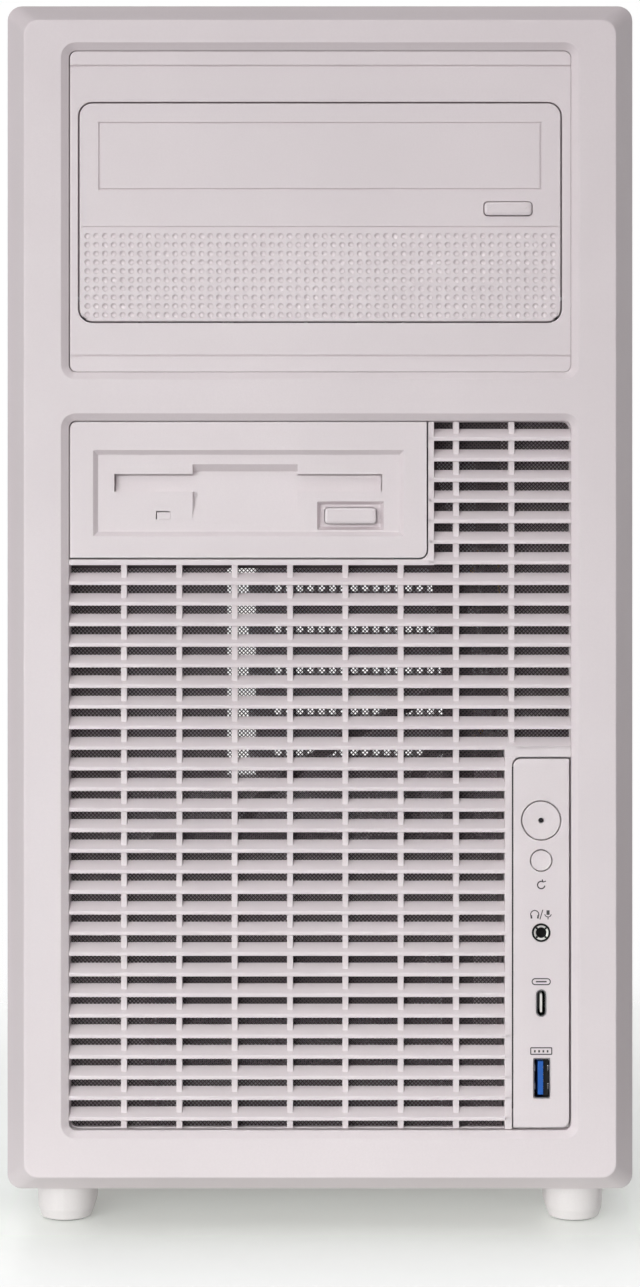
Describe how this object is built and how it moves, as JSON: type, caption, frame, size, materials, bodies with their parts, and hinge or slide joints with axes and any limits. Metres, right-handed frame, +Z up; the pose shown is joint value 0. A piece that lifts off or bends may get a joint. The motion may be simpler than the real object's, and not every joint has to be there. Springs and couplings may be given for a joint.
{
  "type": "desktop computer tower",
  "caption": "Upright computer case with a drop-down drive bay door, a slatted air intake, front buttons and sockets, removable sides and a fitted main board.",
  "frame": {"origin": "centre of the footprint on the floor plane, under the feet", "axes": "+Z up, the front faces -Y, +X is the right-hand side seen from the front"},
  "size_m": [0.2224, 0.435, 0.4349],
  "materials": {
    "shell_plastic": "fine matt moulding",
    "shell_steel": "satin powder coat",
    "zinc_steel": "zinc plated",
    "chrome": "bright",
    "black_plastic": "matt",
    "black_steel": "satin",
    "filter_mesh": "fine woven nylon",
    "tinted_glass": "tempered",
    "rubber": "matt",
    "foot_plastic": "matt",
    "circuit_board": "solder mask",
    "aluminium": "bare fins",
    "brass": "bare",
    "blue_plastic": "gloss",
    "light_pipe": "frosted",
    "fan_plastic": "satin",
    "cable_sleeve": "satin"
  },
  "bodies": {
    "chassis": {"front_bezel": "shell_plastic", "bay_surround": "shell_plastic", "door_pins": "zinc_steel", "floppy_cover": "shell_plastic", "floppy_light": "light_pipe", "louvre_grille": "shell_plastic", "front_filter": "filter_mesh", "io_panel": "shell_plastic", "audio_jack": "chrome", "usb_c_socket": "chrome", "usb_a_socket": "chrome", "usb_a_tongue": "blue_plastic", "front_io_board": "circuit_board", "chassis_front": "shell_steel", "chassis_top": "shell_steel", "chassis_bottom": "shell_steel", "chassis_rear": "shell_steel", "board_tray": "shell_steel", "psu_shroud": "shell_steel", "bay_cage": "zinc_steel", "drive_cage": "zinc_steel", "slot_covers": "zinc_steel", "slot_screws": "zinc_steel", "io_shield": "zinc_steel", "feet": "foot_plastic", "foot_pads": "rubber", "rear_screws": "zinc_steel", "standoffs": "brass", "motherboard": "circuit_board", "board_sockets": "black_plastic", "rear_ports": "zinc_steel", "memory_modules": "black_steel", "board_heatsinks": "black_steel", "cpu_heatsink": "aluminium", "cooler_fan_frame": "black_plastic", "rear_fan_frame": "black_plastic", "psu_case": "black_steel", "psu_fan_guard": "zinc_steel", "psu_inlet": "black_plastic", "hard_drive": "aluminium", "solid_drive": "black_plastic", "power_cables": "cable_sleeve", "data_cables": "cable_sleeve"},
    "bay_door": {"bay_door": "shell_plastic"},
    "door_button": {"door_button": "shell_plastic"},
    "floppy_button": {"floppy_button": "shell_plastic"},
    "power_button": {"power_button": "shell_plastic", "power_light": "light_pipe"},
    "reset_button": {"reset_button": "shell_plastic"},
    "glass_side": {"side_glass": "tinted_glass", "glass_frame": "black_steel", "left_thumb_screws": "black_steel"},
    "steel_side": {"steel_side_panel": "shell_steel", "right_thumb_screws": "zinc_steel"},
    "top_filter": {"top_filter": "black_plastic"},
    "psu_filter": {"psu_filter": "black_plastic"},
    "cooler_rotor": {"cooler_fan_rotor": "fan_plastic"},
    "rear_rotor": {"rear_fan_rotor": "fan_plastic"},
    "psu_rotor": {"psu_fan_rotor": "fan_plastic"},
    "psu_rocker": {"psu_switch": "black_plastic"}
  },
  "joints": [
    {"name": "door_hinge", "type": "hinge", "parent": "chassis", "child": "bay_door", "pos_m": [0, -0.2128, 0.33], "axis": [1, 0, 0], "range_deg": [0, 90]},
    {"name": "door_button_press", "type": "slide", "parent": "bay_door", "child": "door_button", "axis": [0, 1, 0], "range_m": [0, 0.0012], "stiffness_N_per_m": 300},
    {"name": "floppy_button_press", "type": "slide", "parent": "chassis", "child": "floppy_button", "axis": [0, 1, 0], "range_m": [0, 0.0015], "stiffness_N_per_m": 300},
    {"name": "power_button_press", "type": "slide", "parent": "chassis", "child": "power_button", "axis": [0, 1, 0], "range_m": [0, 0.0015], "stiffness_N_per_m": 300},
    {"name": "reset_button_press", "type": "slide", "parent": "chassis", "child": "reset_button", "axis": [0, 1, 0], "range_m": [0, 0.0012], "stiffness_N_per_m": 300},
    {"name": "glass_side_slide", "type": "slide", "parent": "chassis", "child": "glass_side", "axis": [0, 1, 0], "range_m": [0, 0.02]},
    {"name": "steel_side_slide", "type": "slide", "parent": "chassis", "child": "steel_side", "axis": [0, 1, 0], "range_m": [0, 0.02]},
    {"name": "top_filter_lift", "type": "slide", "parent": "chassis", "child": "top_filter", "axis": [0, 0, 1], "range_m": [0, 0.03]},
    {"name": "psu_filter_slide", "type": "slide", "parent": "chassis", "child": "psu_filter", "axis": [0, 1, 0], "range_m": [0, 0.15]},
    {"name": "cooler_fan_spin", "type": "hinge", "parent": "chassis", "child": "cooler_rotor", "pos_m": [-0.017, 0.067, 0.32], "axis": [0, 1, 0], "continuous": true},
    {"name": "rear_fan_spin", "type": "hinge", "parent": "chassis", "child": "rear_rotor", "pos_m": [-0.032, 0.195, 0.33], "axis": [0, 1, 0], "continuous": true},
    {"name": "psu_fan_spin", "type": "hinge", "parent": "chassis", "child": "psu_rotor", "pos_m": [0.002, 0.1378, 0.032], "axis": [0, 0, 1], "continuous": true},
    {"name": "psu_rocker_tilt", "type": "hinge", "parent": "chassis", "child": "psu_rocker", "pos_m": [-0.021, 0.1998, 0.0811], "axis": [1, 0, 0], "range_deg": [-12, 0]}
  ]
}
